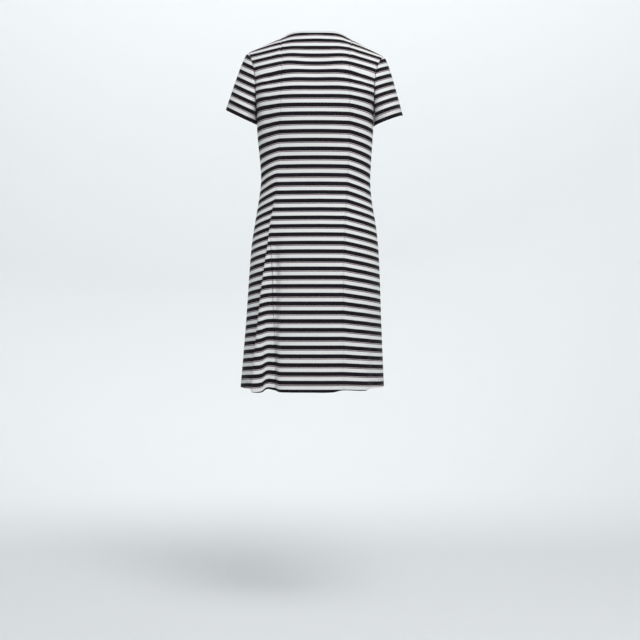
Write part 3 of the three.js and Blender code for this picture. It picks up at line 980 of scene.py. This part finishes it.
def new_material(name):
    material = bpy.data.materials.new(name)
    material.use_nodes = True
    shader = material.node_tree.nodes["Principled BSDF"]
    return material, material.node_tree, shader


def math_node(tree, operation, first, second):
    node = tree.nodes.new("ShaderNodeMath")
    node.operation = operation
    for socket, value in zip(node.inputs, (first, second)):
        if isinstance(value, (int, float)):
            socket.default_value = value
        else:
            tree.links.new(value, socket)
    return node.outputs[0]


def noise_node(tree, vector, scale, detail=2):
    node = tree.nodes.new("ShaderNodeTexNoise")
    node.inputs["Scale"].default_value = scale
    node.inputs["Detail"].default_value = detail
    tree.links.new(vector, node.inputs["Vector"])
    return node.outputs["Fac"]


def knit_bump(tree, shader, cloth_map, wales, courses, distance):
    """Fine columns of stitches, broken up by rows."""
    place = tree.nodes.new("ShaderNodeMapping")
    place.inputs["Scale"].default_value = (wales, courses, 1)
    tree.links.new(cloth_map, place.inputs["Vector"])
    bump = tree.nodes.new("ShaderNodeBump")
    bump.inputs["Strength"].default_value = 0.35
    bump.inputs["Distance"].default_value = distance
    tree.links.new(noise_node(tree, place.outputs[0], 1.0, 3), bump.inputs["Height"])
    tree.links.new(bump.outputs[0], shader.inputs["Normal"])


# %% Striped jersey
def striped_jersey():
    material, tree, shader = new_material("striped jersey")
    cloth_map = tree.nodes.new("ShaderNodeUVMap")
    cloth_map.uv_map = "cloth"
    parts = tree.nodes.new("ShaderNodeSeparateXYZ")
    tree.links.new(cloth_map.outputs[0], parts.inputs[0])
    wander = math_node(tree, "SUBTRACT", noise_node(tree, cloth_map.outputs[0], 700), 0.5)
    wander = math_node(tree, "MULTIPLY", wander, 0.0006)
    height = math_node(tree, "ADD", parts.outputs["Y"], wander)
    height = math_node(tree, "SUBTRACT", height, (STRIPE_STARTS - REPEAT / 3) * MM)
    repeats = math_node(tree, "FRACT", math_node(tree, "DIVIDE", height, REPEAT * MM), 0)
    ramp = tree.nodes.new("ShaderNodeValToRGB").color_ramp
    ramp_node = tree.nodes[-1]
    tree.links.new(repeats, ramp_node.inputs[0])
    soft = 0.12
    stops = [(0, WHITE)]
    for start, end, colour in ((-3.2, -1.2, DARK_RED), (-0.4, 10.4, BLACK)):
        stops += [(start - soft, WHITE), (start + soft, colour), (end - soft, colour), (end + soft, WHITE)]
    for index, (place, colour) in enumerate(stops):
        share = 0 if index == 0 else place / REPEAT + 1 / 3
        stop = ramp.elements[0] if index == 0 else ramp.elements.new(share)
        stop.position, stop.color = share, (*colour, 1)
    ramp.elements.remove(ramp.elements[-1])
    tree.links.new(ramp_node.outputs["Color"], shader.inputs["Base Color"])
    shader.inputs["Roughness"].default_value = 0.9
    shader.inputs["Specular IOR Level"].default_value = 0.15
    shader.inputs["Sheen Weight"].default_value = 0.03
    shader.inputs["Sheen Roughness"].default_value = 0.5
    knit_bump(tree, shader, cloth_map.outputs[0], 1000, 700, 0.0004)
    return material


# %% Binding and thread
def plain_cloth(name, colour, wales, courses):
    material, tree, shader = new_material(name)
    cloth_map = tree.nodes.new("ShaderNodeUVMap")
    cloth_map.uv_map = "cloth"
    shader.inputs["Base Color"].default_value = (*colour, 1)
    shader.inputs["Roughness"].default_value = 0.9
    shader.inputs["Specular IOR Level"].default_value = 0.25
    shader.inputs["Sheen Weight"].default_value = 0.1
    knit_bump(tree, shader, cloth_map.outputs[0], wales, courses, 0.0005)
    return material


def thread(name, colour):
    material, _, shader = new_material(name)
    shader.inputs["Base Color"].default_value = (*colour, 1)
    shader.inputs["Roughness"].default_value = 0.7
    return material


jersey = striped_jersey()
# The binding is off-white jersey, but its colour here is darkened to a light grey, a little below the
# white stripes: that darkening is painted shade along the binding.
binding = plain_cloth("off-white binding greyed by painted shade", (0.69, 0.70, 0.70), 1100, 300)
dark_thread = thread("dark thread", (0.02, 0.018, 0.02))

# %% [markdown]
# ## Put the pieces in place
# Every piece takes the place of its plain wall in the frame and belongs to the one body, and how
# large it was cut before it was hung is printed.

# %% Hide the frame's walls and hang the pieces on the body
for node, (piece, flat, area) in panels.items():
    is_band = node == "neck_band"
    piece.data.materials.append(binding if is_band else jersey)
    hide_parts(node)
    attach(piece, "root")
    side = {"sleeve_left": 1, "sleeve_right": -1}.get(node)
    print(node, "cut:", [round(size, 3) for size in flat], "area:", round(area, 4))
for piece in (stitches, *cuff_stitches.values()):
    piece.data.materials.append(dark_thread)
    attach(piece, "root")

# %% [markdown]
# ## The studio
# A seamless pale surround keeps attention on the cloth: a round floor that curves up into a wall,
# made by spinning one profile. It goes all the way round, so the dress can be looked at from any
# side. The key light is large, high and almost straight behind the wearer, a little to their right.
# The light that fills the wearer's left is very weak, so the folds there keep their shade.

# %% Floor and wall
FLOOR = -1.557
FLOOR_RADIUS, CURVE_RADIUS, WALL_HEIGHT = 3.0, 2.0, 6.0


def make_surround():
    bm = bmesh.new()
    verts = [bm.verts.new((0, 0, FLOOR)), bm.verts.new((FLOOR_RADIUS, 0, FLOOR))]
    for step in range(1, 13):
        turn = math.pi / 2 * step / 12
        verts.append(bm.verts.new((FLOOR_RADIUS + CURVE_RADIUS * math.sin(turn), 0,
                                   FLOOR + CURVE_RADIUS * (1 - math.cos(turn)))))
    verts.append(bm.verts.new((FLOOR_RADIUS + CURVE_RADIUS, 0, FLOOR + WALL_HEIGHT)))
    edges = [bm.edges.new(pair) for pair in zip(verts, verts[1:])]
    bmesh.ops.spin(bm, geom=[*verts, *edges], cent=(0, 0, 0), axis=(0, 0, 1),
                   angle=math.tau, steps=96, use_merge=True)
    bmesh.ops.remove_doubles(bm, verts=bm.verts, dist=0.0001)
    bmesh.ops.recalc_face_normals(bm, faces=bm.faces)
    bmesh.ops.reverse_faces(bm, faces=bm.faces)
    mesh = bpy.data.meshes.new("surround")
    bm.to_mesh(mesh)
    bm.free()
    mesh.shade_smooth()
    surround = bpy.data.objects.new("surround", mesh)
    bpy.context.scene.collection.objects.link(surround)
    material, _, shader = new_material("pale matt surround")
    shader.inputs["Base Color"].default_value = (0.83, 0.85, 0.86, 1)
    shader.inputs["Roughness"].default_value = 1.0
    shader.inputs["Specular IOR Level"].default_value = 0.0
    mesh.materials.append(material)
    return surround


surround = make_surround()
print("surround:", len(surround.data.polygons), "faces")

# %% Lights
def add_light(name, location, size, power, colour, aim=(0, 0, -0.5)):
    light = bpy.data.lights.new(name, "AREA")
    light.size, light.energy, light.color = size, power, colour
    lamp = bpy.data.objects.new(name, light)
    lamp.location = location
    lamp.rotation_euler = (Vector(aim) - Vector(location)).to_track_quat("-Z", "Y").to_euler()
    lamp.visible_camera = False
    bpy.context.scene.collection.objects.link(lamp)
    return lamp


add_light("key", (-1.1, 3.7, 2.4), 2.2, 75, (1, 0.99, 0.98))
add_light("top", (-0.5, 1.5, 1.4), 1.4, 20, (1, 1, 1), aim=(0, 0, -0.2))
add_light("fill", (2.9, 2.6, 0.4), 2.2, 3, (0.97, 0.99, 1))
add_light("far fill", (0.6, -3.4, 1.6), 2.4, 36, (0.98, 0.99, 1))
add_light("wall light", (0, -1.6, 2.8), 2.6, 92, (1, 1, 1), aim=(0, -5, 2.4))

world = bpy.data.worlds.new("studio air")
world.use_nodes = True
world.node_tree.nodes["Background"].inputs["Color"].default_value = (0.98, 0.985, 1, 1)
world.node_tree.nodes["Background"].inputs["Strength"].default_value = 0.27
bpy.context.scene.world = world
bpy.context.scene.view_settings.view_transform = "Standard"

# %% [markdown]
# ## Camera
# It stands four metres behind the wearer, level, at the height of the skirt's middle.

# %% Place the camera
camera = bpy.data.cameras.new("camera")
camera.sensor_width, camera.lens = 36, 83.33
camera_stand = bpy.data.objects.new("camera", camera)
camera_stand.location = (-0.0108, 4.0, -0.761)
camera_stand.rotation_euler = (math.pi / 2, 0, math.pi)
bpy.context.scene.collection.objects.link(camera_stand)
bpy.context.scene.camera = camera_stand
